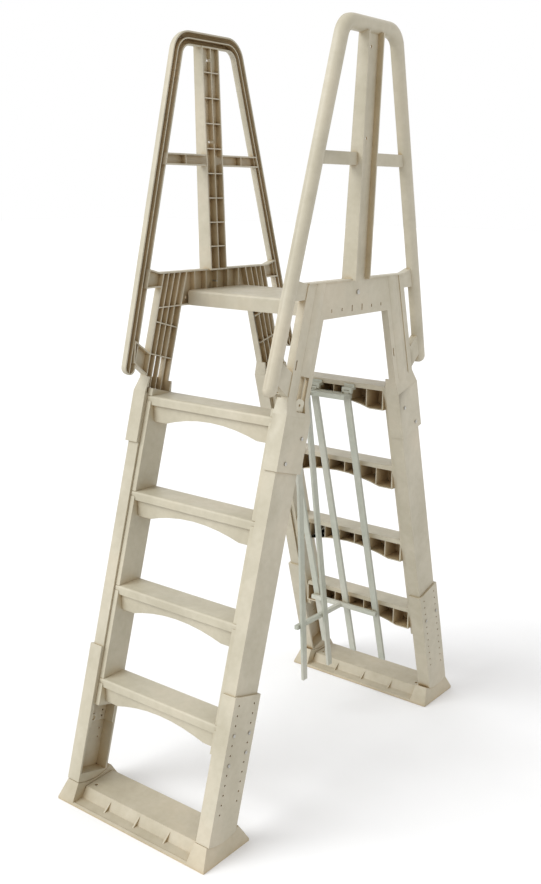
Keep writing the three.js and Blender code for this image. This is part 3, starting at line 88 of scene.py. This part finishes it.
class Nodes:
    """A material's node tree, built from left to right."""

    def __init__(self, name):
        self.material = bpy.data.materials.new(name)
        self.material.use_nodes = True
        self.tree = self.material.node_tree
        self.shader = self.tree.nodes["Principled BSDF"]
        self.place = self.add("ShaderNodeTexCoord").outputs["Object"]

    def add(self, kind, **values):
        node = self.tree.nodes.new(kind)
        for key, value in values.items():
            setattr(node, key, value)
        return node

    def link(self, out, into):
        self.tree.links.new(out, into)

    def noise(self, scale, detail=2.0, roughness=0.5, place=None):
        node = self.add("ShaderNodeTexNoise")
        node.inputs["Scale"].default_value = scale
        node.inputs["Detail"].default_value = detail
        node.inputs["Roughness"].default_value = roughness
        self.link(place or self.place, node.inputs["Vector"])
        return node.outputs["Fac"]

    def stretched(self, scale):
        node = self.add("ShaderNodeMapping")
        node.inputs["Scale"].default_value = scale
        self.link(self.place, node.inputs["Vector"])
        return node.outputs["Vector"]

    def ramp(self, value, *stops):
        node = self.add("ShaderNodeValToRGB")
        elements = node.color_ramp.elements
        while len(elements) < len(stops):
            elements.new(0.5)
        for element, (at, color) in zip(elements, stops):
            element.position = at
            element.color = (*color, 1)
        self.link(value, node.inputs["Fac"])
        return node.outputs["Color"]

    def multiply(self, strength, color, tint):
        node = self.add("ShaderNodeMix", data_type="RGBA", blend_type="MULTIPLY")
        node.inputs[MIX_FACTOR].default_value = strength
        self.link(color, node.inputs[MIX_A])
        self.link(tint, node.inputs[MIX_B])
        return node.outputs[MIX_RESULT]

    def openness(self, reach):
        node = self.add("ShaderNodeAmbientOcclusion", samples=OCCLUSION_SAMPLES)
        node.inputs["Distance"].default_value = reach
        return node.outputs["AO"]

    def bump(self, height, strength, distance, before=None):
        node = self.add("ShaderNodeBump")
        node.inputs["Strength"].default_value = strength
        node.inputs["Distance"].default_value = distance
        self.link(height, node.inputs["Height"])
        if before is not None:
            self.link(before, node.inputs["Normal"])
        return node.outputs["Normal"]


def linear(red, green, blue):
    """An sRGB colour of 0 to 255 as linear light."""

    def one(channel):
        value = channel / 255
        return value / 12.92 if value <= 0.04045 else ((value + 0.055) / 1.055) ** 2.4

    return tuple(one(c) for c in (red, green, blue))


def grey(value):
    return (value, value, value)


def moulded_plastic(name, base, shade, warm, roughness=0.46, grain=0.10, painted_recess_shade=0.9):
    """Matt injection-moulded plastic: mottled pigment, faint flow lines, a fine eroded grain,
    and painted shade, a brown darkening, inside its pockets and seams."""
    n = Nodes(name)
    cloud = n.noise(CLOUD_SCALE, 4, 0.6)
    speck = n.noise(SPECK_SCALE, 3, 0.6)
    flow = n.noise(FLOW_SCALE, 2, 0.5, n.stretched(FLOW_STRETCH))
    color = n.ramp(cloud, (0.36, shade), (0.52, base), (0.68, warm))
    specks = n.ramp(speck, (0.35, (0.87, 0.86, 0.83)), (0.65, WHITE))
    color = n.multiply(PIGMENT_STRENGTH, color, specks)
    flows = n.ramp(flow, (0.38, (0.90, 0.89, 0.85)), (0.62, WHITE))
    color = n.multiply(PIGMENT_STRENGTH, color, flows)
    # painted shade: brown darkening of the pockets (wide reach) and seams (short reach), from
    # ambient occlusion
    color = n.multiply(painted_recess_shade, color, n.ramp(n.openness(POCKET_SHADE_REACH), *POCKET_PAINTED_SHADE))
    color = n.multiply(painted_recess_shade, color, n.ramp(n.openness(SEAM_SHADE_REACH), *SEAM_PAINTED_SHADE))
    n.link(color, n.shader.inputs["Base Color"])
    gloss = n.ramp(
        n.noise(GLOSS_SCALE, 3, 0.6),
        (0.3, grey(roughness - GLOSS_LOSS)),
        (0.7, grey(roughness + GLOSS_GAIN)),
    )
    n.link(gloss, n.shader.inputs["Roughness"])
    n.shader.inputs["IOR"].default_value = PLASTIC_IOR
    n.shader.inputs["Specular IOR Level"].default_value = PLASTIC_SPECULAR
    sink = n.bump(n.noise(SINK_SCALE, 1, 0.4), SINK_STRENGTH, SINK_DEPTH)
    normal = n.bump(n.noise(GRAIN_SCALE, 2, 0.6), grain, GRAIN_DEPTH, sink)
    n.link(normal, n.shader.inputs["Normal"])
    return n.material


def brushed_steel(name):
    n = Nodes(name)
    lines = n.noise(BRUSH_SCALE, 2, 0.6, n.stretched(BRUSH_STRETCH))
    color = n.ramp(lines, (0.3, linear(150, 148, 142)), (0.7, linear(196, 194, 188)))
    n.link(color, n.shader.inputs["Base Color"])
    n.link(n.ramp(lines, (0.3, grey(0.26)), (0.7, grey(0.42))), n.shader.inputs["Roughness"])
    n.shader.inputs["Metallic"].default_value = 1.0
    n.link(n.bump(lines, BRUSH_STRENGTH, BRUSH_DEPTH), n.shader.inputs["Normal"])
    return n.material


FINISH = {
    "frame_plastic": moulded_plastic(
        "beige_plastic",
        base=linear(180, 173, 155),
        shade=linear(171, 164, 145),
        warm=linear(186, 177, 158),
    ),
    "step_plastic": moulded_plastic(
        "step_plastic",
        base=linear(181, 174, 155),
        shade=linear(172, 165, 146),
        warm=linear(187, 178, 159),
    ),
    "tray_plastic": moulded_plastic(
        "tray_plastic",
        base=linear(177, 168, 148),
        shade=linear(167, 158, 137),
        warm=linear(184, 173, 151),
        roughness=0.5,
    ),
    "tab_plastic": moulded_plastic(
        "tab_plastic",
        base=linear(196, 190, 172),
        shade=linear(188, 182, 164),
        warm=linear(201, 194, 176),
    ),
    "barrier_plastic": moulded_plastic(
        "pale_plastic",
        base=linear(178, 180, 168),
        shade=linear(169, 172, 160),
        warm=linear(185, 184, 173),
        roughness=0.4,
        grain=0.06,
        # weaker painted shade in the barrier's recesses
        painted_recess_shade=0.5,
    ),
    "fastener_steel": brushed_steel("fastener_steel"),
}

# ------------------------------------------------------------------ carried-over CAD nodes
EDGE_RADIUS = {  # metres, by the first word of the node's name
    "panel": 0.0012,
    "leg": 0.0022,
    "stile": 0.0016,
    "sleeve": 0.0018,
    "tread": 0.0020,
    "platform": 0.0018,
    "base": 0.0020,
    "lock": 0.0008,
    "stop": 0.0016,
    "barrier": 0.0012,
    "beam": 0.0003,
    "collar": 0.0003,
}
WELD_DISTANCE = 0.00002
FLAT_ANGLE = math.radians(0.5)
ROUND_ANGLE = math.radians(32)
BEVEL_SEGMENTS = 2


def soften(node, radius):
    """Rounds a moulding's edges without touching its mesh: weld, dissolve flats, bevel."""
    weld = node.modifiers.new("weld", "WELD")
    weld.merge_threshold = WELD_DISTANCE
    flats = node.modifiers.new("flats", "DECIMATE")
    flats.decimate_type = "DISSOLVE"
    flats.angle_limit = FLAT_ANGLE
    bevel = node.modifiers.new("edges", "BEVEL")
    bevel.width = radius
    bevel.segments = BEVEL_SEGMENTS
    bevel.limit_method = "ANGLE"
    bevel.angle_limit = ROUND_ANGLE
    bevel.use_clamp_overlap = True
    bevel.harden_normals = False
    normals = node.modifiers.new("normals", "WEIGHTED_NORMAL")
    normals.keep_sharp = True


slots = {part["node"]: part["material_slot"] for part in frame["record"]["subparts"]}
for name, node in nodes.items():
    node.data.materials.clear()
    node.data.materials.append(FINISH[slots[name]])
    for polygon in node.data.polygons:
        polygon.use_smooth = True
    soften(node, EDGE_RADIUS[name.split("_")[0]])


# ------------------------------------------------------------------ stage
FLOOR_HALF = 40.0
FLOOR_SCALE = 3
FLOOR_ROUGHNESS, FLOOR_SPECULAR = 0.9, 0.1
KEY_TOWARD = (0.42, 0.74, -0.68)
KEY_STRENGTH = 2.2
KEY_SPREAD = math.radians(40)
KEY_COLOR = (0.96, 0.985, 1.0)
SKY_STRENGTH = 1.0


def add_floor():
    corners = [(-1, -1), (1, -1), (1, 1), (-1, 1)]
    mesh = bpy.data.meshes.new("floor")
    mesh.from_pydata([(x * FLOOR_HALF, y * FLOOR_HALF, 0) for x, y in corners], [], [(0, 1, 2, 3)])
    floor = bpy.data.objects.new("floor", mesh)
    scene.collection.objects.link(floor)
    n = Nodes("floor")
    color = n.ramp(
        n.noise(FLOOR_SCALE, 2),
        (0.3, (0.785, 0.780, 0.780)),
        (0.7, (0.805, 0.800, 0.800)),
    )
    n.link(color, n.shader.inputs["Base Color"])
    n.shader.inputs["Roughness"].default_value = FLOOR_ROUGHNESS
    n.shader.inputs["Specular IOR Level"].default_value = FLOOR_SPECULAR
    mesh.materials.append(n.material)


def add_key_light():
    data = bpy.data.lights.new("key", "SUN")
    data.energy = KEY_STRENGTH
    data.color = KEY_COLOR
    data.angle = KEY_SPREAD
    light = bpy.data.objects.new("key", data)
    scene.collection.objects.link(light)
    light.rotation_euler = Vector(KEY_TOWARD).to_track_quat("-Z", "Y").to_euler()


def add_sky():
    world = bpy.data.worlds.new("studio")
    world.use_nodes = True
    background = world.node_tree.nodes["Background"]
    background.inputs["Color"].default_value = (*WHITE, 1)
    background.inputs["Strength"].default_value = SKY_STRENGTH
    scene.world = world
    scene.view_settings.view_transform = "Standard"


add_camera()
add_floor()
add_sky()
add_key_light()
